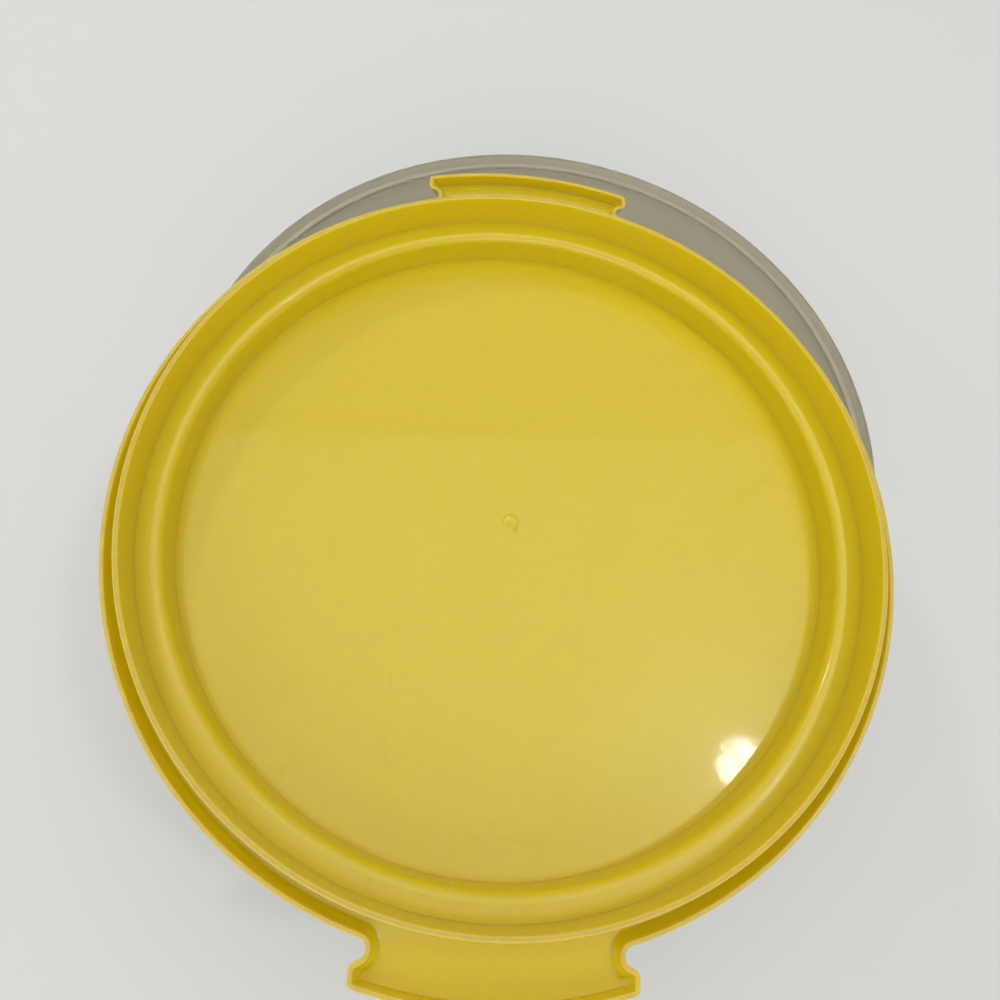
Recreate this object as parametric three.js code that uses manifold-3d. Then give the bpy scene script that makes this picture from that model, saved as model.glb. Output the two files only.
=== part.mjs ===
// A round cake carrier of moulded polyethylene: a tray with a raised plate and two flared grab tabs,
// and a tall domed lid whose rim snaps over the tray's rim.
// The lid stands upside down on its flat top, and the tray lies on the lid's rim with its underside up.
// Millimetres, +Z up. The origin is the centre of the flat top that the lid stands on.

import * as THREE from 'three';
import { mergeVertices } from 'three/addons/utils/BufferGeometryUtils.js';
import Module from 'manifold-3d';

const wasm = await Module();
wasm.setup();

// Tray, measured the right way up from the edge of its foot
const TRAY_WALL = 2.0;
const PLATE_RADIUS = 138.7; // hollow under the raised plate
const LEDGE_WIDTH = 10.35; // from that hollow's edge to the foot ring
const FOOT_HEIGHT = 15.4; // from the foot's edge to the underside of the flange
const FOOT_EDGE = 2.0; // thickness of the foot ring at its edge
const FOOT_DRAFT = 0.5; // extra thickness at its root
const FOOT_ROUND = 0.4;
const PLATE_RISE = 14.3; // from the flange up to the plate
const STEP_DRAFT = THREE.MathUtils.degToRad(2.5);
const RIDGE_RADIUS = 3.6; // rounding where the step meets the flange, seen from below
const GATE_RADIUS = 3.4; // ring of the moulding gate under the plate
const GATE_HEIGHT = 0.5;

// Skirt and grab tabs
const FLANGE_WIDTH = 8.65; // from the foot ring's edge to the outer face of the skirt
const SKIRT_DEPTH = 5.6; // below the underside of the flange
const SKIRT_WALL = 1.8;
const TAB_LENGTH = 14.1; // from the skirt to a tab's outer edge
const TAB_NECK = 43.2; // half width between the notches
const FLARE_WIDTH = 5.0; // how far the flared end stands out past the neck on each side
const NOTCH_RADIUS = 3.2;
const FLARE_ROUND = 1.4; // rounding of the flare inside the skirt wall
const TAB_CORNER = 0.5; // corner rounding inside the skirt wall
const COVE_RUN = 3.2; // how far the skirt's hollow inner face sweeps in up to the flange
const TAB_SIDE_RUN = 4.8; // the same on the sides of a tab
const TAB_END_RUN = 0.6; // the same on the end of a tab
const TAB_SIDE_LEAN = 3.0; // how far the outer face of a tab's sides leans in up to the flange
const SHARPEST = 0.15; // least rounding of an inside corner

// Rim on the tray's upper side, which the lid snaps over
const RIM_SETBACK = 0.3; // from the skirt's outer face to the rim's outer face
const RIM_WALL = 2.0;
const RIM_HEIGHT = 6.0;
const RIM_ROUND = 0.6;

// Lid, measured upside down from the flat top that it stands on
const LID_HEIGHT = 128;
const LID_WALL = 1.8;
const LID_TAPER = THREE.MathUtils.degToRad(3);
const LIP_WALL = 1.7;
const LIP_CLEARANCE = 0.4; // between the lip and the tray's rim
const MOUTH_CLEARANCE = 0.7; // between the lid's wall and the tray's rim
const TAB_CLEARANCE = 1.2; // between the lip's edge and the tabs when closed
const LIP_ROUND = 0.4;
const SHOULDER_RADIUS = 16;
const TOP_RADIUS = 112; // flat disc that the lid stands on
const TOP_RISE = 3;
const TOP_RUN = 2.4; // width of the slope round the disc

// Place of the tray on the lid
const TRAY_OFFSET = new THREE.Vector2(-11.7, -49.4);
const REST_GAP = 0.3;

// Facets
const TURN_STEPS = 72;
const ARC_STEP = THREE.MathUtils.degToRad(18);
const SKIRT_STEPS = 16;
const NOTCH_STEPS = 6;
const CORNER_STEPS = 4;
const TAB_STEPS = 5;
const COVE_STEPS = 4;

// Heights and radii that follow from the sizes above
const flangeUnder = FOOT_HEIGHT;
const flangeTop = flangeUnder + TRAY_WALL;
const plateUnder = flangeUnder + PLATE_RISE;
const plateTop = plateUnder + TRAY_WALL;
const skirtEdge = flangeUnder - SKIRT_DEPTH;
const footInner = PLATE_RADIUS + LEDGE_WIDTH;
const footOuter = footInner + FOOT_EDGE;
const footRoot = footOuter + FOOT_DRAFT;
const skirtRadius = footOuter + FLANGE_WIDTH;
const flangeJoin = (footRoot + skirtRadius - SKIRT_WALL) / 2;
const tabReach = skirtRadius + TAB_LENGTH;
const tabFlare = TAB_NECK + FLARE_WIDTH;
const rimOuter = skirtRadius - RIM_SETBACK;
const rimInner = rimOuter - RIM_WALL;

function polar(center, radius, angle) {
  return new THREE.Vector2(center.x + radius * Math.cos(angle), center.y + radius * Math.sin(angle));
}

// Points of a circular arc, both ends included
function arc(center, radius, from, to, count = Math.ceil(Math.abs(to - from) / ARC_STEP)) {
  const points = [];
  for (let i = 0; i <= count; i += 1) {
    points.push(polar(center, radius, from + ((to - from) * i) / count));
  }
  return points;
}

function point(radius, height) {
  return new THREE.Vector2(radius, height);
}

function solidFrom(geometry) {
  geometry.deleteAttribute('normal');
  geometry.deleteAttribute('uv');
  const merged = mergeVertices(geometry, 1e-4);
  const index = merged.index.array;
  const corners = [];
  for (let i = 0; i < index.length; i += 3) {
    const [a, b, c] = [index[i], index[i + 1], index[i + 2]];
    if (a !== b && b !== c && c !== a) corners.push(a, b, c);
  }
  return new wasm.Manifold(new wasm.Mesh({
    numProp: 3,
    vertProperties: new Float32Array(merged.attributes.position.array),
    triVerts: new Uint32Array(corners),
  }));
}

function geometryFrom(solid) {
  const mesh = solid.getMesh();
  const geometry = new THREE.BufferGeometry();
  geometry.setAttribute('position', new THREE.BufferAttribute(mesh.vertProperties, 3));
  geometry.setIndex(new THREE.BufferAttribute(mesh.triVerts, 1));
  geometry.computeVertexNormals();
  return geometry;
}

// Solid of revolution round Z, from a profile that runs anticlockwise in radius and height
function revolve(profile) {
  return solidFrom(new THREE.LatheGeometry(profile, TURN_STEPS).rotateX(Math.PI / 2));
}

// Solid between outlines with the same number of points, one above the other, the lowest first
function loft(levels) {
  const count = levels[0].outline.length;
  const positions = levels.flatMap(({ outline, height }) => outline.flatMap((p) => [p.x, p.y, height]));
  const faces = [];
  for (const [a, b, c] of THREE.ShapeUtils.triangulateShape(levels[0].outline, [])) faces.push(a, c, b);
  for (let level = 1; level < levels.length; level += 1) {
    const above = level * count;
    const below = above - count;
    for (let i = 0; i < count; i += 1) {
      const next = (i + 1) % count;
      faces.push(below + i, below + next, above + next, below + i, above + next, above + i);
    }
  }
  const last = (levels.length - 1) * count;
  for (const [a, b, c] of THREE.ShapeUtils.triangulateShape(levels.at(-1).outline, [])) {
    faces.push(last + a, last + b, last + c);
  }
  const geometry = new THREE.BufferGeometry();
  geometry.setAttribute('position', new THREE.Float32BufferAttribute(positions, 3));
  geometry.setIndex(faces);
  return solidFrom(geometry);
}

// One quarter of the tray's outline, from the +X axis to the middle of the +Y tab.
// It is set in by inset at the tab's end, by neckInset along the round skirt up to the tab's neck and by
// sideInset along the tab's flared side. The notch passes from the one to the other.
function quarterOutline(inset, neckInset, sideInset) {
  const axis = new THREE.Vector2(0, 0);
  const flareRadius = Math.max(FLARE_ROUND + SKIRT_WALL - sideInset, SHARPEST);
  const cornerRadius = Math.max(TAB_CORNER + SKIRT_WALL - inset, SHARPEST);
  const side = tabFlare - sideInset;

  const notchX = TAB_NECK + NOTCH_RADIUS;
  const notch = new THREE.Vector2(notchX, Math.sqrt((skirtRadius + NOTCH_RADIUS) ** 2 - notchX ** 2));
  const flareX = side - flareRadius;
  const bend = NOTCH_RADIUS + sideInset + flareRadius;
  const flare = new THREE.Vector2(flareX, notch.y + Math.sqrt(bend ** 2 - (notchX - flareX) ** 2));
  const cornerX = side - cornerRadius;
  const corner = new THREE.Vector2(cornerX, Math.sqrt((tabReach - inset - cornerRadius) ** 2 - cornerX ** 2));

  const neckAngle = notch.angle();
  const bendAngle = Math.atan2(notch.y - flare.y, notch.x - flare.x);
  const tabAngle = corner.angle();
  const notchArc = arc(notch, 1, neckAngle + Math.PI, bendAngle + Math.PI, NOTCH_STEPS).map((p, i) => {
    const radius = THREE.MathUtils.lerp(neckInset, sideInset, (i / NOTCH_STEPS) ** 2) + NOTCH_RADIUS;
    return p.sub(notch).multiplyScalar(radius).add(notch);
  });
  return [
    ...arc(axis, skirtRadius - neckInset, 0, neckAngle, SKIRT_STEPS),
    ...notchArc.slice(1),
    ...arc(flare, flareRadius, bendAngle, 0, CORNER_STEPS).slice(1),
    ...arc(corner, cornerRadius, 0, tabAngle, CORNER_STEPS),
    ...arc(axis, tabReach - inset, tabAngle, Math.PI / 2, TAB_STEPS).slice(1),
  ];
}

// The whole outline: the quarter, mirrored across Y and then turned half a turn
function trayOutline(inset, neckInset, sideInset) {
  const right = quarterOutline(inset, neckInset, sideInset);
  const left = right.slice(0, -1).reverse().map((p) => new THREE.Vector2(-p.x, p.y));
  const half = [...right, ...left.slice(0, -1)];
  return [...half, ...half.map((p) => p.clone().negate())];
}

// Raised plate, flange and foot ring
function trayBody() {
  const normal = new THREE.Vector2(Math.cos(STEP_DRAFT), Math.sin(STEP_DRAFT));
  const crease = point(PLATE_RADIUS, plateUnder);
  const ridgeHeight = flangeUnder + RIDGE_RADIUS;
  const ridgeRun = (RIDGE_RADIUS - (ridgeHeight - plateUnder) * normal.y) / normal.x;
  const ridge = point(PLATE_RADIUS + ridgeRun, ridgeHeight);
  const wallAngle = Math.PI + STEP_DRAFT;
  const downAngle = 1.5 * Math.PI;
  return revolve([
    point(0, plateUnder - GATE_HEIGHT / 5),
    point(GATE_RADIUS * 0.6, plateUnder - GATE_HEIGHT / 5),
    point(GATE_RADIUS * 0.8, plateUnder - GATE_HEIGHT),
    point(GATE_RADIUS, plateUnder),
    crease,
    ...arc(ridge, RIDGE_RADIUS, wallAngle, downAngle),
    point(footInner, flangeUnder),
    point(footInner, FOOT_ROUND),
    point(footInner + FOOT_ROUND, 0),
    point(footOuter - FOOT_ROUND, 0),
    point(footOuter, FOOT_ROUND),
    point(footRoot, flangeUnder),
    point(flangeJoin, flangeUnder),
    point(flangeJoin, flangeTop),
    ...arc(ridge, RIDGE_RADIUS - TRAY_WALL, downAngle, wallAngle),
    ...arc(crease, TRAY_WALL, STEP_DRAFT, Math.PI / 2),
    point(0, plateTop),
  ]);
}

// Outer flange with its tabs, hollow below inside the skirt.
// The skirt's inner face is a cove that meets the flange in a quarter of an ellipse.
function trayBorder() {
  const edge = trayOutline(0, 0, 0);
  const leaning = trayOutline(0, 0, TAB_SIDE_LEAN);
  const block = loft([
    { outline: edge, height: skirtEdge },
    { outline: leaning, height: flangeUnder },
    { outline: leaning, height: flangeTop },
  ]);
  const mouth = trayOutline(SKIRT_WALL, SKIRT_WALL, SKIRT_WALL);
  const levels = [{ outline: mouth, height: skirtEdge - TRAY_WALL }];
  for (let i = 0; i <= COVE_STEPS; i += 1) {
    const turn = ((Math.PI / 2) * i) / COVE_STEPS;
    const sweep = 1 - Math.cos(turn);
    levels.push({
      outline: trayOutline(
        SKIRT_WALL + TAB_END_RUN * sweep,
        SKIRT_WALL + COVE_RUN * sweep,
        SKIRT_WALL + TAB_SIDE_RUN * sweep,
      ),
      height: skirtEdge + SKIRT_DEPTH * Math.sin(turn),
    });
  }
  const hollow = loft(levels);
  const opening = revolve([
    point(0, skirtEdge - TRAY_WALL),
    point(footRoot, skirtEdge - TRAY_WALL),
    point(footRoot, flangeTop + TRAY_WALL),
    point(0, flangeTop + TRAY_WALL),
  ]);
  return block.subtract(hollow).subtract(opening);
}

// Upstanding ring that the lid's lip closes over
function trayRim() {
  const top = flangeTop + RIM_HEIGHT;
  const foot = flangeTop - TRAY_WALL / 2;
  return revolve([
    point(rimInner, foot),
    point(rimOuter, foot),
    point(rimOuter, top - RIM_ROUND),
    point(rimOuter - RIM_ROUND, top),
    point(rimInner + RIM_ROUND, top),
    point(rimInner, top - RIM_ROUND),
    point(rimInner, foot),
  ]);
}

// Domed lid, drawn upside down: the disc it stands on is at height zero and its rim at the top
function lidShell() {
  const lipDepth = RIM_HEIGHT - TAB_CLEARANCE;
  const lipInner = rimOuter + LIP_CLEARANCE;
  const lipOuter = lipInner + LIP_WALL;
  const flangeFace = LID_HEIGHT - lipDepth;
  const flangeBack = flangeFace - LID_WALL;
  const mouthInner = rimInner - MOUTH_CLEARANCE;
  const mouthOuter = mouthInner + LID_WALL / Math.cos(LID_TAPER);

  // The shoulder's arc touches the tapered wall and the flat round the disc
  const shoulderHeight = TOP_RISE + SHOULDER_RADIUS;
  const shoulderRadius = mouthOuter
    - (flangeBack - shoulderHeight) * Math.tan(LID_TAPER)
    - SHOULDER_RADIUS / Math.cos(LID_TAPER);
  const shoulder = point(shoulderRadius, shoulderHeight);
  const insideTop = (flangeFace - flangeBack) * Math.tan(LID_TAPER);
  const downAngle = -Math.PI / 2;
  const wallAngle = -LID_TAPER;
  const innerTurn = LID_WALL * Math.tan(Math.atan2(TOP_RISE, TOP_RUN) / 2);
  return revolve([
    point(0, 0),
    point(TOP_RADIUS, 0),
    point(TOP_RADIUS + TOP_RUN, TOP_RISE),
    ...arc(shoulder, SHOULDER_RADIUS, downAngle, wallAngle),
    point(mouthOuter, flangeBack),
    point(lipOuter, flangeBack),
    point(lipOuter, LID_HEIGHT - LIP_ROUND),
    point(lipOuter - LIP_ROUND, LID_HEIGHT),
    point(lipInner + LIP_ROUND, LID_HEIGHT),
    point(lipInner, LID_HEIGHT - LIP_ROUND),
    point(lipInner, flangeFace),
    point(mouthInner + insideTop, flangeFace),
    ...arc(shoulder, SHOULDER_RADIUS - LID_WALL, wallAngle, downAngle),
    point(TOP_RADIUS + TOP_RUN - innerTurn, TOP_RISE + LID_WALL),
    point(TOP_RADIUS - innerTurn, LID_WALL),
    point(0, LID_WALL),
  ]);
}

const yellow = new THREE.MeshStandardMaterial({ color: 0xd9bd3a, roughness: 0.35, metalness: 0 });
const frosted = new THREE.MeshStandardMaterial({
  color: 0xb9b4a2, roughness: 0.5, metalness: 0, transparent: true, opacity: 0.6,
});

const lid = new THREE.Mesh(geometryFrom(lidShell()), frosted);
lid.name = 'lid';

const tray = new THREE.Mesh(geometryFrom(trayBody().add(trayBorder()).add(trayRim())), yellow);
tray.name = 'tray';

// The tray is turned over about Y, so that its plate lies on the lid's rim
const turnedTray = new THREE.Group();
turnedTray.rotation.y = Math.PI;
turnedTray.position.set(TRAY_OFFSET.x, TRAY_OFFSET.y, LID_HEIGHT + REST_GAP + plateTop);
turnedTray.add(tray);

const cakeCarrier = new THREE.Group();
cakeCarrier.name = 'cake_carrier';
cakeCarrier.add(lid, turnedTray);

export default cakeCarrier;
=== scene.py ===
"""Looks of a round cake carrier: a glossy yellow tray lying underside up on its upturned frosted lid."""

import math

import bmesh
import bpy
from mathutils import Matrix, Vector
from mathutils.geometry import delaunay_2d_cdt


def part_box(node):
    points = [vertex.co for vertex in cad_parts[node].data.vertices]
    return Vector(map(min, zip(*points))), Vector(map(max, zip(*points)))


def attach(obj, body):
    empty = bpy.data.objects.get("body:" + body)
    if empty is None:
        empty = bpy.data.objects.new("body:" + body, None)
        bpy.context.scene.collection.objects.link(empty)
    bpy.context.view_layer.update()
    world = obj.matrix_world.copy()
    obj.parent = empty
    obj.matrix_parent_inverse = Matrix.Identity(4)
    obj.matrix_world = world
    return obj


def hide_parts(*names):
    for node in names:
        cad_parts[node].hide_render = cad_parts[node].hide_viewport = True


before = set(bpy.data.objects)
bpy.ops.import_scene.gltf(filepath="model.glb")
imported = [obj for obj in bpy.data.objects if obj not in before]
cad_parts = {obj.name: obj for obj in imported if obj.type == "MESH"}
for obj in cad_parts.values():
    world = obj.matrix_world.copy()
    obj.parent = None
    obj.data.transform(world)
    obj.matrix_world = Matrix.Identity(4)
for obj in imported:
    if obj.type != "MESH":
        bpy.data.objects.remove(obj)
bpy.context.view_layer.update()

MM = 0.001

# Tray, measured the right way up from the edge of its foot
TRAY_WALL = 2.0 * MM
PLATE_RADIUS = 138.7 * MM
LEDGE_WIDTH = 10.35 * MM
FOOT_HEIGHT = 15.4 * MM
FOOT_EDGE = 2.0 * MM
FOOT_DRAFT = 0.5 * MM
PLATE_RISE = 14.3 * MM
STEP_DRAFT = math.radians(2.5)
RIDGE_RADIUS = 3.6 * MM
FLANGE_WIDTH = 8.65 * MM
SKIRT_DEPTH = 5.6 * MM
SKIRT_WALL = 1.8 * MM
TAB_LENGTH = 14.1 * MM
TAB_NECK = 43.2 * MM
FLARE_WIDTH = 5.0 * MM
NOTCH_RADIUS = 3.2 * MM
FLARE_ROUND = 1.4 * MM
TAB_CORNER = 0.5 * MM
COVE_RUN = 3.2 * MM
TAB_SIDE_RUN = 4.8 * MM
TAB_END_RUN = 0.6 * MM
TAB_SIDE_SETBACK = 3.0 * MM
RIM_SETBACK = 0.3 * MM
RIM_WALL = 2.0 * MM
RIM_HEIGHT = 6.0 * MM

# Mark of the moulding gate in the middle of the tray: a raised ring, and a broken-off sprue beside it
GATE_RADIUS = 3.4 * MM
GATE_HEIGHT = 0.5 * MM
GATE_FLOOR = 0.35 * GATE_RADIUS
GATE_CREST = 0.8 * GATE_RADIUS
NUB_RIGHT = 1.9 * MM
NUB_NEAR = 3.8 * MM
NUB_CORE = 0.5 * MM
NUB_REACH = 1.8 * MM
NUB_HEIGHT = 0.5 * MM

# Lid, measured upside down from the flat top that it stands on
LID_WALL = 1.8 * MM
LID_TAPER = math.radians(3)
LIP_WALL = 1.7 * MM
LIP_CLEARANCE = 0.4 * MM
MOUTH_CLEARANCE = 0.7 * MM
TAB_CLEARANCE = 1.2 * MM
GROOVE_WIDTH = 0.9 * MM
GROOVE_DEPTH = 0.7 * MM
SHOULDER_RADIUS = 16 * MM
TOP_RADIUS = 112 * MM
TOP_RISE = 3 * MM
TOP_RUN = 2.4 * MM

# Small roundings of the mouldings
CREASE_ROUND = 0.3 * MM
EDGE_ROUND = 0.5 * MM
LID_ROUND = 0.8 * MM
SHARPEST = 0.15 * MM
SUPPORT = 0.25 * MM

# Mesh density
TURN_STEPS = 384
ROUND_STEP = math.radians(12)
SKIRT_STEPS = 72
NOTCH_STEPS = 12
FLARE_STEPS = 10
CORNER_STEPS = 10
TAB_STEPS = 16

# Yellow plastic
YELLOW = (0.63, 0.50, 0.006, 1)
WORN_YELLOW = (0.52, 0.39, 0.08, 1)
FOOT_DIRT = (0.42, 0.29, 0.07, 1)
PLASTIC_IOR = 1.5
TRAY_ROUGHNESS = 0.34
FOOT_ROUGHNESS = 0.55
TRAY_GLOW_REACH = 4 * MM
GLOSS = 0.4
DULL_GLOSS = 0.06
GLOSS_ROUGHNESS = 0.055
WAVE_DEPTH = 0.05 * MM
SCRATCH_DEPTH = 0.002 * MM

# Grain of the patterns, in spots per metre
RUBBED_GRAIN = 350
DIRT_GRAIN = 250
WAVE_GRAIN = 28
NUB_GRAIN = 600
SCRATCH_SETS = ((0.15, 1900), (1.35, 2200), (2.2, 1600))  # direction of the lines and their grain
SCRATCH_STRETCH = 60

# Frosted plastic
FROSTED = (0.68, 0.64, 0.51, 1)
# Painted shade: a darker tint in the groove at the lid flange's inner edge, standing in for the shade that
# falls in it
GROOVE_SHADE = (0.50, 0.47, 0.37, 1)
LID_ROUGHNESS = 0.5
LID_CLEARNESS = 0.8
LID_GLOW_REACH = 5 * MM

# Floor and sky
FLOOR_SIZE = 8.0
FLOOR_PAINT = (0.68, 0.68, 0.67, 1)
FLOOR_ROUGHNESS = 0.9
SKY_HORIZON = 0.9
SKY_ZENITH = 0.25
SKY_NEAR = 1.2
SKY_FAR = 0.6

# Lights: name, place, width and depth in metres, power in watts, colour
WHITE = (1, 1, 1)
DAYLIGHT = (1, 0.98, 0.95)
WARM = (1, 0.97, 0.92)
SOFTBOX = ("ceiling_softbox", (0.15, 0.14, 2.0), 2.5, 1.48, 16, WHITE)
SOFTBOX_TURN = math.radians(4.5)
WINDOWS_AND_LAMPS = (
    ("near_window", (-0.2, -2.4, 1.8), 2.4, 1.4, 20, DAYLIGHT),
    ("far_window", (0, 1.9, 2.3), 2.6, 1.5, 8, DAYLIGHT),
    ("left_window", (-2.2, -0.3, 1.3), 1.2, 1.2, 5, DAYLIGHT),
    ("far_lamp", (-1.3, 1.44, 1.68), 0.22, 0.22, 7, WARM),
)
ROUND_LAMP = ("ceiling_lamp", (0.896, -0.145, 2.0), 0.145, 0.145, 3.2, WHITE)
LIT_POINT = (0, 0, 0.1)

# Camera of the photograph
CAMERA_PLACE = Vector((-38.23, -142.96, 413.86)) * MM
CAMERA_RIGHT = Vector((0.99461, 0.04683, 0.09255))
CAMERA_UP = Vector((-0.07554, 0.93849, 0.33693))
FOCAL_PIXELS = 690
FRAME_PIXELS = 1000
SENSOR = 36.0
NEAREST = 0.01

flange_under = FOOT_HEIGHT
flange_top = flange_under + TRAY_WALL
plate_under = flange_under + PLATE_RISE
plate_top = plate_under + TRAY_WALL
skirt_edge = flange_under - SKIRT_DEPTH
foot_inner = PLATE_RADIUS + LEDGE_WIDTH
foot_outer = foot_inner + FOOT_EDGE
foot_middle = (foot_inner + foot_outer) / 2
foot_root = foot_outer + FOOT_DRAFT
skirt_radius = foot_outer + FLANGE_WIDTH
tab_reach = skirt_radius + TAB_LENGTH
tab_flare = TAB_NECK + FLARE_WIDTH
rim_outer = skirt_radius - RIM_SETBACK
rim_inner = rim_outer - RIM_WALL
rim_top = flange_top + RIM_HEIGHT
mouth_inner = rim_inner - MOUTH_CLEARANCE

tray_low, tray_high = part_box("tray")
lid_low, lid_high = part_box("lid")
tray_centre = (tray_low + tray_high) / 2
lid_height = lid_high.z - lid_low.z
tray_place = Matrix.Translation((tray_centre.x, tray_centre.y, tray_high.z))
turned_over = tray_place @ Matrix.Rotation(math.pi, 4, "Y")


# Profiles

def arc(centre, radius, start, end, step):
    count = max(1, math.ceil(abs(end - start) / step - 1e-9))
    turns = [start + (end - start) * i / count for i in range(count + 1)]
    return [Vector((centre.x + radius * math.cos(t), centre.y + radius * math.sin(t))) for t in turns]


def corner_arc(before, here, after):
    """Arc that rounds the corner (radius, height, rounding) between its two neighbours."""
    corner = Vector(here[:2])
    back = (Vector(before[:2]) - corner).normalized()
    ahead = (Vector(after[:2]) - corner).normalized()
    half = back.angle(ahead) / 2
    reach = here[2] / math.tan(half)
    centre = corner + (back + ahead).normalized() * here[2] / math.sin(half)
    first = corner + back * reach - centre
    last = corner + ahead * reach - centre
    start = math.atan2(first.y, first.x)
    return arc(centre, here[2], start, start - first.angle_signed(last), ROUND_STEP)


def rounded(corners):
    """Points of a profile with rounded corners, and a support point on the straight beside each rounding."""
    start = Vector(corners[0][:2])
    end = Vector(corners[-1][:2])
    arcs = [corner_arc(*three) for three in zip(corners, corners[1:], corners[2:])]
    runs = [[start]] + arcs + [[end]]
    points = [start]
    for run, after in zip(runs, runs[1:]):
        straight = after[0] - run[-1]
        support = straight.normalized() * min(SUPPORT, straight.length / 3)
        points += [run[-1] + support, after[0] - support]
        points += after
    return points


def tray_underside():
    """From the axis under the plate out to the flange, just past the foot ring."""
    step_foot = PLATE_RADIUS + PLATE_RISE * math.tan(STEP_DRAFT)
    gate_floor_height = plate_under - GATE_HEIGHT / 5
    return rounded([
        (0, gate_floor_height),
        (GATE_FLOOR, gate_floor_height, CREASE_ROUND),
        (GATE_CREST, plate_under - GATE_HEIGHT, CREASE_ROUND),
        (GATE_RADIUS, plate_under, CREASE_ROUND),
        (PLATE_RADIUS, plate_under, CREASE_ROUND),
        (step_foot, flange_under, RIDGE_RADIUS),
        (foot_inner, flange_under, CREASE_ROUND),
        (foot_inner, 0, EDGE_ROUND),
        (foot_outer, 0, EDGE_ROUND),
        (foot_root, flange_under, CREASE_ROUND),
        (foot_root + 2 * CREASE_ROUND, flange_under),
    ])


def tray_upper_side():
    """From the foot of the rim over the rim, down the trough and up on to the plate."""
    wall_radius = PLATE_RADIUS + TRAY_WALL * math.cos(STEP_DRAFT)
    wall_height = plate_under + TRAY_WALL * math.sin(STEP_DRAFT)
    step_foot = wall_radius + (wall_height - flange_top) * math.tan(STEP_DRAFT)
    step_head = wall_radius - (plate_top - wall_height) * math.tan(STEP_DRAFT)
    return rounded([
        (rim_outer, flange_top),
        (rim_outer, rim_top, EDGE_ROUND),
        (rim_inner, rim_top, EDGE_ROUND),
        (rim_inner, flange_top, EDGE_ROUND),
        (step_foot, flange_top, RIDGE_RADIUS - TRAY_WALL),
        (step_head, plate_top, TRAY_WALL),
        (0, plate_top),
    ])


def tray_border():
    """Flange edge, skirt and tab edge, as (inset from the outline, height)."""
    return rounded([
        (SKIRT_WALL + 2 * CREASE_ROUND, flange_under),
        (SKIRT_WALL, flange_under, CREASE_ROUND),
        (SKIRT_WALL, skirt_edge, EDGE_ROUND),
        (0, skirt_edge, EDGE_ROUND),
        (0, flange_top, SHARPEST),
        (RIM_SETBACK * 0.8, flange_top),
    ])


def cove(inset, height):
    """How far the skirt's inner wall leans in here: not at all at its edge, fully at the flange."""
    if inset < SKIRT_WALL - SHARPEST:
        return 0
    rise = min(max((height - skirt_edge - EDGE_ROUND) / (SKIRT_DEPTH - EDGE_ROUND), 0), 1)
    return 1 - math.sqrt(1 - rise ** 2)


def set_back(inset, height):
    """How far the outer wall of a tab's sides leans in at this height."""
    if inset > SKIRT_WALL - EDGE_ROUND:
        return 0
    return min(max((height - skirt_edge - EDGE_ROUND) / SKIRT_DEPTH, 0), 1)


def lid_profile():
    lip_inner = rim_outer + LIP_CLEARANCE
    lip_outer = lip_inner + LIP_WALL
    flange_face = lid_height - (RIM_HEIGHT - TAB_CLEARANCE)
    flange_back = flange_face - LID_WALL
    slope = math.tan(LID_TAPER)
    mouth_outer = mouth_inner + LID_WALL / math.cos(LID_TAPER)
    shoulder_outer = mouth_outer - (flange_back - TOP_RISE) * slope
    shoulder_inner = mouth_inner - (flange_back - TOP_RISE - LID_WALL) * slope
    turn = LID_WALL * math.tan(math.atan2(TOP_RISE, TOP_RUN) / 2)
    return rounded([
        (0, 0),
        (TOP_RADIUS, 0, LID_ROUND),
        (TOP_RADIUS + TOP_RUN, TOP_RISE, LID_ROUND),
        (shoulder_outer, TOP_RISE, SHOULDER_RADIUS),
        (mouth_outer, flange_back, LID_ROUND),
        (lip_outer, flange_back, EDGE_ROUND),
        (lip_outer, lid_height, EDGE_ROUND),
        (lip_inner, lid_height, EDGE_ROUND),
        (lip_inner, flange_face, EDGE_ROUND),
        (mouth_inner + GROOVE_WIDTH, flange_face, SHARPEST),
        (mouth_inner + GROOVE_WIDTH, flange_face - GROOVE_DEPTH, SHARPEST),
        (mouth_inner, flange_face - GROOVE_DEPTH, SHARPEST),
        (shoulder_inner, TOP_RISE + LID_WALL, SHOULDER_RADIUS - LID_WALL),
        (TOP_RADIUS + TOP_RUN - turn, TOP_RISE + LID_WALL, LID_ROUND),
        (TOP_RADIUS - turn, LID_WALL, LID_ROUND),
        (0, LID_WALL),
    ])


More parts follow.
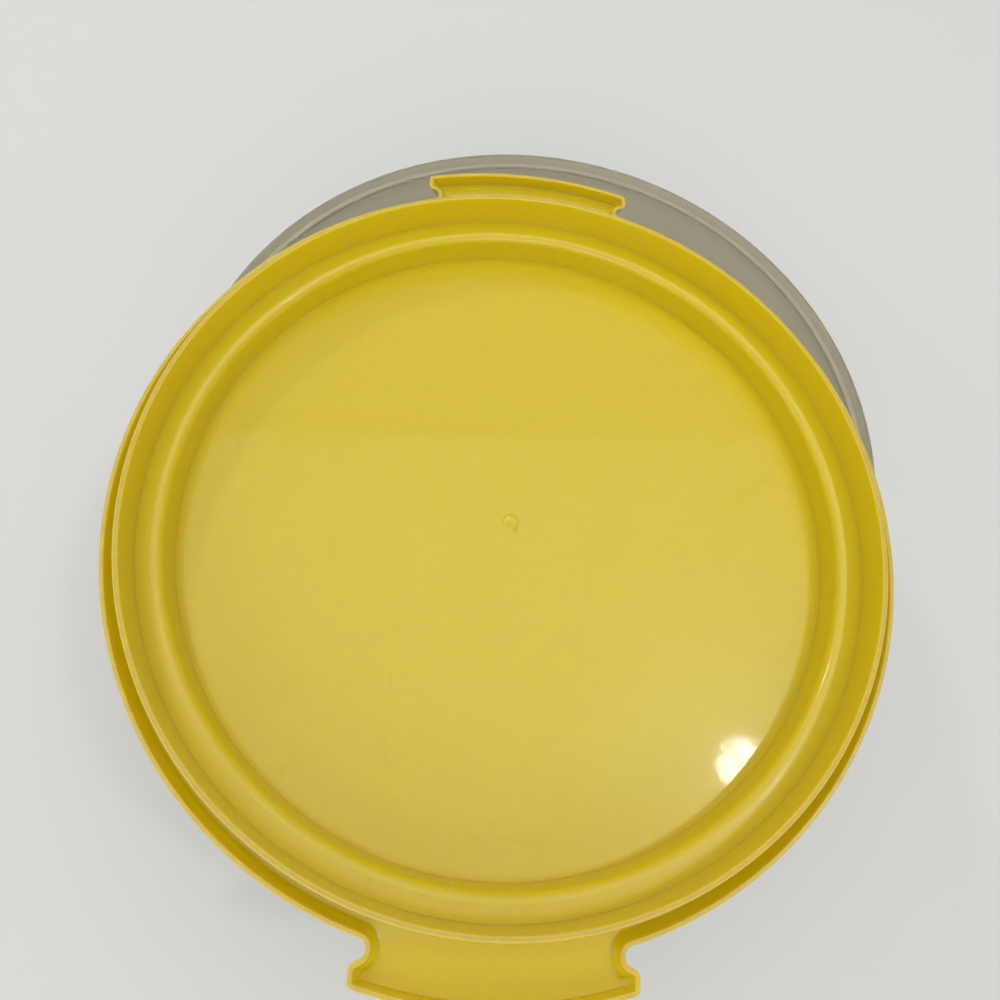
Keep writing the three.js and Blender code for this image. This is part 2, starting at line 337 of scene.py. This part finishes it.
def quarter_outline(inset, neck_inset, side_inset):
    """Tray outline from the +X axis to the middle of the +Y tab.

    It is set in by inset along the tab's end, by neck_inset along the round skirt up to the tab's neck
    and by side_inset along the tab's flared side.
    """
    axis = Vector((0, 0))
    flare_radius = max(FLARE_ROUND + SKIRT_WALL - side_inset, SHARPEST)
    corner_radius = max(TAB_CORNER + SKIRT_WALL - inset, SHARPEST)
    notch_radius = NOTCH_RADIUS + side_inset
    side = tab_flare - side_inset
    notch_x = TAB_NECK + NOTCH_RADIUS
    notch = Vector((notch_x, math.sqrt((skirt_radius + NOTCH_RADIUS) ** 2 - notch_x ** 2)))
    flare_x = side - flare_radius
    bend = notch_radius + flare_radius
    flare = Vector((flare_x, notch.y + math.sqrt(bend ** 2 - (notch_x - flare_x) ** 2)))
    corner_x = side - corner_radius
    corner = Vector((corner_x, math.sqrt((tab_reach - inset - corner_radius) ** 2 - corner_x ** 2)))
    neck_turn = math.atan2(notch.y, notch.x)
    bend_turn = math.atan2(notch.y - flare.y, notch.x - flare.x)
    tab_turn = math.atan2(corner.y, corner.x)
    notch_step = abs(neck_turn - bend_turn) / NOTCH_STEPS
    notch_arc = arc(notch, 1, neck_turn + math.pi, bend_turn + math.pi, notch_step)
    for i, point in enumerate(notch_arc):
        blend = (i / NOTCH_STEPS) ** 2
        radius = NOTCH_RADIUS + neck_inset + (side_inset - neck_inset) * blend
        point.xy = notch + (point - notch) * radius
    return (
        arc(axis, skirt_radius - neck_inset, 0, neck_turn, neck_turn / SKIRT_STEPS)
        + notch_arc[1:]
        + arc(flare, flare_radius, bend_turn, 0, abs(bend_turn) / FLARE_STEPS)[1:]
        + arc(corner, corner_radius, 0, tab_turn, tab_turn / CORNER_STEPS)
        + arc(axis, tab_reach - inset, tab_turn, math.pi / 2, (math.pi / 2 - tab_turn) / TAB_STEPS)[1:]
    )


def tray_outline(inset, height):
    lean_in = cove(inset, height)
    lean_out = set_back(inset, height)
    neck_inset = inset + COVE_RUN * lean_in
    side_inset = inset + TAB_SIDE_RUN * lean_in + TAB_SIDE_SETBACK * lean_out
    right = quarter_outline(inset + TAB_END_RUN * lean_in, neck_inset, side_inset)
    left = [Vector((-p.x, p.y)) for p in reversed(right[:-1])]
    half = right + left[:-1]
    return half + [-p for p in half]


# Meshes

def add_loop(bm, points, height):
    return [bm.verts.new((p.x, p.y, height)) for p in points]


def bridge(bm, first, second):
    for i in range(len(first)):
        j = (i + 1) % len(first)
        bm.faces.new((first[i], first[j], second[j], second[i]))


def revolve(bm, profile):
    """Rings round Z through the profile's points. Returns the first and the last ring."""
    circle = arc(Vector((0, 0)), 1, 0, 2 * math.pi, 2 * math.pi / TURN_STEPS)[:-1]
    rings = []
    for p in profile:
        if p.x < SHARPEST:
            rings.append([bm.verts.new((0, 0, p.y))])
        else:
            rings.append(add_loop(bm, [c * p.x for c in circle], p.y))
    for first, second in zip(rings, rings[1:]):
        if len(first) == 1:
            first, second = second, first
        if len(second) == 1:
            for i, vert in enumerate(first):
                bm.faces.new((vert, first[i - 1], second[0]))
        else:
            bridge(bm, first, second)
    return rings[0], rings[-1]


def sweep_outline(bm, profile):
    loops = [add_loop(bm, tray_outline(p.x, p.y), p.y) for p in profile]
    for first, second in zip(loops, loops[1:]):
        bridge(bm, first, second)
    return loops[0], loops[-1]


def fill_flat(bm, outer, inner):
    """Flat face between two closed loops at one height."""
    verts = outer + inner
    count = len(outer)
    total = len(verts)
    edges = [(i, (i + 1) % count) for i in range(count)]
    edges += [(i, i + 1 if i + 1 < total else count) for i in range(count, total)]
    flat = [v.co.xy for v in verts]
    hole = min(v.co.xy.length for v in inner)
    _, _, faces, origins, _, _ = delaunay_2d_cdt(flat, edges, [], 1, 1e-9)
    for face in faces:
        corners = [verts[origins[i][0]] for i in face]
        middle = sum((v.co.xy for v in corners), Vector((0, 0))) / 3
        if middle.length > hole:
            bm.faces.new(corners)


def finish_mesh(bm, name, material, place=None):
    bmesh.ops.recalc_face_normals(bm, faces=bm.faces)
    for face in bm.faces:
        face.smooth = True
    mesh = bpy.data.meshes.new(name)
    if place:
        bm.transform(place)
    bm.to_mesh(mesh)
    bm.free()
    mesh.materials.append(material)
    piece = bpy.data.objects.new(name, mesh)
    bpy.context.scene.collection.objects.link(piece)
    return piece


def make_tray(material):
    bm = bmesh.new()
    _, foot_ring = revolve(bm, tray_underside())
    rim_ring, _ = revolve(bm, tray_upper_side())
    under_loop, top_loop = sweep_outline(bm, tray_border())
    fill_flat(bm, under_loop, foot_ring)
    fill_flat(bm, top_loop, rim_ring)
    return finish_mesh(bm, "moulded_tray", material, turned_over)


def make_lid(material):
    bm = bmesh.new()
    revolve(bm, lid_profile())
    return finish_mesh(bm, "frosted_lid", material)


# Shader nodes

def new_material(name):
    material = bpy.data.materials.new(name)
    material.use_nodes = True
    nodes = material.node_tree.nodes
    return material, nodes, material.node_tree.links, nodes["Principled BSDF"]


def add_node(nodes, kind, **settings):
    node = nodes.new(kind)
    for name, value in settings.items():
        setattr(node, name, value)
    return node


def ramp(nodes, links, source, low, high, start=0.0, end=1.0):
    """Value that goes from start to end while the source goes from low to high."""
    node = add_node(nodes, "ShaderNodeMapRange", clamp=True)
    node.inputs["From Min"].default_value = low
    node.inputs["From Max"].default_value = high
    node.inputs["To Min"].default_value = start
    node.inputs["To Max"].default_value = end
    links.new(source, node.inputs["Value"])
    return node.outputs["Result"]


def noise(nodes, links, place, scale, detail, stretch=(1, 1, 1), turn=0.0):
    mapping = add_node(nodes, "ShaderNodeMapping", vector_type="TEXTURE")
    mapping.inputs["Scale"].default_value = stretch
    mapping.inputs["Rotation"].default_value = (0, 0, turn)
    links.new(place, mapping.inputs["Vector"])
    texture = add_node(nodes, "ShaderNodeTexNoise")
    texture.inputs["Scale"].default_value = scale
    texture.inputs["Detail"].default_value = detail
    links.new(mapping.outputs["Vector"], texture.inputs["Vector"])
    return texture.outputs["Fac"]


def arithmetic(nodes, links, operation, first, second):
    node = add_node(nodes, "ShaderNodeMath", operation=operation)
    links.new(first, node.inputs[0])
    links.new(second, node.inputs[1])
    return node.outputs["Value"]


def bump(nodes, links, height, depth, before=None):
    node = add_node(nodes, "ShaderNodeBump")
    node.inputs["Strength"].default_value = 1
    node.inputs["Distance"].default_value = depth
    links.new(height, node.inputs["Height"])
    if before:
        links.new(before, node.inputs["Normal"])
    return node.outputs["Normal"]


def tint(nodes, links, amount, first, second):
    """Colour between first, a colour or a socket, and the colour second."""
    node = add_node(nodes, "ShaderNodeMix", data_type="RGBA")
    links.new(amount, node.inputs[0])
    if isinstance(first, tuple):
        node.inputs[6].default_value = first
    else:
        links.new(first, node.inputs[6])
    node.inputs[7].default_value = second
    return node.outputs[2]


def surface_place(nodes, links):
    """Place of a surface point in the piece's own axes, and its height."""
    place = add_node(nodes, "ShaderNodeTexCoord").outputs["Object"]
    parts = add_node(nodes, "ShaderNodeSeparateXYZ")
    links.new(place, parts.inputs["Vector"])
    return place, parts.outputs["Z"]


def from_axis(nodes, links, place, axis):
    """Distance from an upright axis."""
    flat = add_node(nodes, "ShaderNodeVectorMath", operation="MULTIPLY")
    links.new(place, flat.inputs[0])
    flat.inputs[1].default_value = (1, 1, 0)
    away = add_node(nodes, "ShaderNodeVectorMath", operation="DISTANCE")
    links.new(flat.outputs["Vector"], away.inputs[0])
    away.inputs[1].default_value = (axis.x, axis.y, 0)
    return away.outputs["Value"]


def band(nodes, links, source, middle, core, reach):
    """1 within core of the middle, and down to 0 at reach from it."""
    rise = ramp(nodes, links, source, middle - reach, middle - core)
    fall = ramp(nodes, links, source, middle + core, middle + reach, 1, 0)
    return arithmetic(nodes, links, "MULTIPLY", rise, fall)


# Marks of use and moulding

def scratches(nodes, links, place):
    """Hairlines in three directions, 1 on a scratch."""
    result = None
    for turn, grain in SCRATCH_SETS:
        lines = noise(nodes, links, place, grain, 1, stretch=(1, SCRATCH_STRETCH, 1), turn=turn)
        lines = ramp(nodes, links, lines, 0.63, 0.66)
        result = lines if result is None else arithmetic(nodes, links, "MAXIMUM", result, lines)
    return result


def gate_nub(nodes, links, place):
    """Height of the broken-off sprue beside the gate ring."""
    away = add_node(nodes, "ShaderNodeVectorMath", operation="DISTANCE")
    links.new(place, away.inputs[0])
    floor_height = tray_high.z - plate_under
    away.inputs[1].default_value = (tray_centre.x + NUB_RIGHT, tray_centre.y - NUB_NEAR, floor_height)
    rough = ramp(nodes, links, noise(nodes, links, place, NUB_GRAIN, 2), 0.35, 0.65)
    hill = ramp(nodes, links, away.outputs["Value"], NUB_CORE, NUB_REACH, 1, 0)
    return arithmetic(nodes, links, "MULTIPLY", hill, rough)


def foot_mask(nodes, links, height):
    """1 on the edge of the foot ring."""
    return ramp(nodes, links, height, tray_high.z - EDGE_ROUND, tray_high.z - EDGE_ROUND / 5)


def skirt_edge_mask(nodes, links, height, radius):
    """1 on the edge of the skirt and of the tabs."""
    edge = tray_high.z - skirt_edge
    high = ramp(nodes, links, height, edge - EDGE_ROUND, edge - EDGE_ROUND / 5)
    outside = ramp(nodes, links, radius, foot_root, skirt_radius - 2 * SKIRT_WALL)
    return arithmetic(nodes, links, "MULTIPLY", high, outside)


def dirt_mask(nodes, links, place, radius, foot):
    """Specks of dirt along the middle of the foot ring's edge."""
    middle = band(nodes, links, radius, foot_middle, FOOT_EDGE * 0.1, FOOT_EDGE * 0.3)
    specks = ramp(nodes, links, noise(nodes, links, place, DIRT_GRAIN, 3), 0.3, 0.7, 0.15, 0.5)
    on_foot = arithmetic(nodes, links, "MULTIPLY", foot, middle)
    return arithmetic(nodes, links, "MULTIPLY", on_foot, specks)


# Materials

def yellow_plastic():
    material, nodes, links, shader = new_material("yellow_polyethylene")
    place, height = surface_place(nodes, links)
    radius = from_axis(nodes, links, place, tray_centre)
    foot = foot_mask(nodes, links, height)
    edges = arithmetic(nodes, links, "MAXIMUM", foot, skirt_edge_mask(nodes, links, height, radius))
    rubbed = ramp(nodes, links, noise(nodes, links, place, RUBBED_GRAIN, 4), 0.3, 0.7, 0.5, 1)
    worn = arithmetic(nodes, links, "MULTIPLY", edges, rubbed)
    dirt = dirt_mask(nodes, links, place, radius, foot)
    hairlines = scratches(nodes, links, place)
    waves = noise(nodes, links, place, WAVE_GRAIN, 1)

    colour = tint(nodes, links, worn, YELLOW, WORN_YELLOW)
    colour = tint(nodes, links, dirt, colour, FOOT_DIRT)
    links.new(colour, shader.inputs["Base Color"])
    roughness = ramp(nodes, links, foot, 0, 1, TRAY_ROUGHNESS, FOOT_ROUGHNESS)
    links.new(roughness, shader.inputs["Roughness"])
    shader.inputs["IOR"].default_value = PLASTIC_IOR
    shader.inputs["Specular IOR Level"].default_value = 0.5
    shader.inputs["Subsurface Weight"].default_value = 1
    shader.inputs["Subsurface Radius"].default_value = (1, 0.95, 0.2)
    shader.inputs["Subsurface Scale"].default_value = TRAY_GLOW_REACH
    dull = arithmetic(nodes, links, "MAXIMUM", hairlines, foot)
    links.new(ramp(nodes, links, dull, 0, 1, GLOSS, DULL_GLOSS), shader.inputs["Coat Weight"])
    shader.inputs["Coat Roughness"].default_value = GLOSS_ROUGHNESS
    shader.inputs["Coat IOR"].default_value = PLASTIC_IOR

    normal = bump(nodes, links, waves, WAVE_DEPTH)
    normal = bump(nodes, links, hairlines, SCRATCH_DEPTH, normal)
    normal = bump(nodes, links, gate_nub(nodes, links, place), NUB_HEIGHT, normal)
    links.new(normal, shader.inputs["Normal"])
    links.new(normal, shader.inputs["Coat Normal"])
    return material


def frosted_plastic():
    material, nodes, links, shader = new_material("frosted_polyethylene")
    place, height = surface_place(nodes, links)
    radius = from_axis(nodes, links, place, Vector((0, 0, 0)))
    # Painted shade: the groove at the flange's inner edge, near the rim, is tinted darker for the shade in
    # it
    groove_middle = mouth_inner + GROOVE_WIDTH / 2
    groove = band(nodes, links, radius, groove_middle, GROOVE_WIDTH / 2, GROOVE_WIDTH)
    rim = ramp(nodes, links, height, lid_height - 2 * RIM_HEIGHT, lid_height - RIM_HEIGHT)
    groove_shade_amount = arithmetic(nodes, links, "MULTIPLY", groove, rim)
    links.new(tint(nodes, links, groove_shade_amount, FROSTED, GROOVE_SHADE), shader.inputs["Base Color"])
    shader.inputs["Roughness"].default_value = LID_ROUGHNESS
    shader.inputs["Transmission Weight"].default_value = LID_CLEARNESS
    shader.inputs["Subsurface Weight"].default_value = 1
    shader.inputs["Subsurface Radius"].default_value = (1, 1, 0.9)
    shader.inputs["Subsurface Scale"].default_value = LID_GLOW_REACH
    shader.inputs["IOR"].default_value = PLASTIC_IOR
    return material


def floor_paint():
    material, _, _, shader = new_material("floor_paint")
    shader.inputs["Base Color"].default_value = FLOOR_PAINT
    shader.inputs["Roughness"].default_value = FLOOR_ROUGHNESS
    return material


# Stage, light and camera

def make_floor(material):
    mesh = bpy.data.meshes.new("floor")
    half = FLOOR_SIZE / 2
    corners = [(-half, -half, 0), (half, -half, 0), (half, half, 0), (-half, half, 0)]
    mesh.from_pydata(corners, [], [(0, 1, 2, 3)])
    mesh.materials.append(material)
    floor = bpy.data.objects.new("floor", mesh)
    bpy.context.scene.collection.objects.link(floor)


def area_light(name, place, width, depth, power, colour, target=LIT_POINT):
    light = bpy.data.lights.new(name, "AREA")
    light.shape = "RECTANGLE"
    light.size = width
    light.size_y = depth
    light.energy = power
    light.color = colour
    lamp = bpy.data.objects.new(name, light)
    lamp.location = place
    lamp.rotation_euler = (Vector(target) - Vector(place)).to_track_quat("-Z", "Y").to_euler()
    bpy.context.scene.collection.objects.link(lamp)
    return lamp


def make_lights():
    across, along, _ = SOFTBOX[1]
    softbox = area_light(*SOFTBOX, target=(across, along, 0))
    softbox.rotation_euler.rotate_axis("Z", SOFTBOX_TURN)
    for light in WINDOWS_AND_LAMPS:
        area_light(*light)
    lamp = area_light(*ROUND_LAMP)
    lamp.data.shape = "DISK"


def make_sky():
    """Light from all sides that is brightest at the horizon and on the near side."""
    world = bpy.data.worlds.new("studio")
    world.use_nodes = True
    nodes = world.node_tree.nodes
    links = world.node_tree.links
    parts = add_node(nodes, "ShaderNodeSeparateXYZ")
    links.new(add_node(nodes, "ShaderNodeTexCoord").outputs["Generated"], parts.inputs["Vector"])
    background = nodes["Background"]
    background.inputs["Color"].default_value = (1, 1, 1, 1)
    upward = ramp(nodes, links, parts.outputs["Z"], 0, 1, SKY_HORIZON, SKY_ZENITH)
    nearward = ramp(nodes, links, parts.outputs["Y"], -1, 1, SKY_NEAR, SKY_FAR)
    links.new(arithmetic(nodes, links, "MULTIPLY", upward, nearward), background.inputs["Strength"])
    bpy.context.scene.world = world


def make_camera():
    camera = bpy.data.cameras.new("photo_camera")
    camera.sensor_width = SENSOR
    camera.lens = SENSOR * FOCAL_PIXELS / FRAME_PIXELS
    camera.clip_start = NEAREST
    holder = bpy.data.objects.new("photo_camera", camera)
    right = CAMERA_RIGHT.normalized()
    back = right.cross(CAMERA_UP).normalized()
    up = back.cross(right)
    turn = Matrix((right, up, back)).transposed().to_4x4()
    holder.matrix_world = Matrix.Translation(CAMERA_PLACE) @ turn
    bpy.context.scene.collection.objects.link(holder)
    bpy.context.scene.camera = holder


def main():
    bpy.context.scene.view_settings.view_transform = "Standard"
    make_camera()
    make_floor(floor_paint())
    make_lights()
    make_sky()
    tray = make_tray(yellow_plastic())
    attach(tray, "tray")
    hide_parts("tray")
    lid = make_lid(frosted_plastic())
    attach(lid, "lid")
    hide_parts("lid")


main()
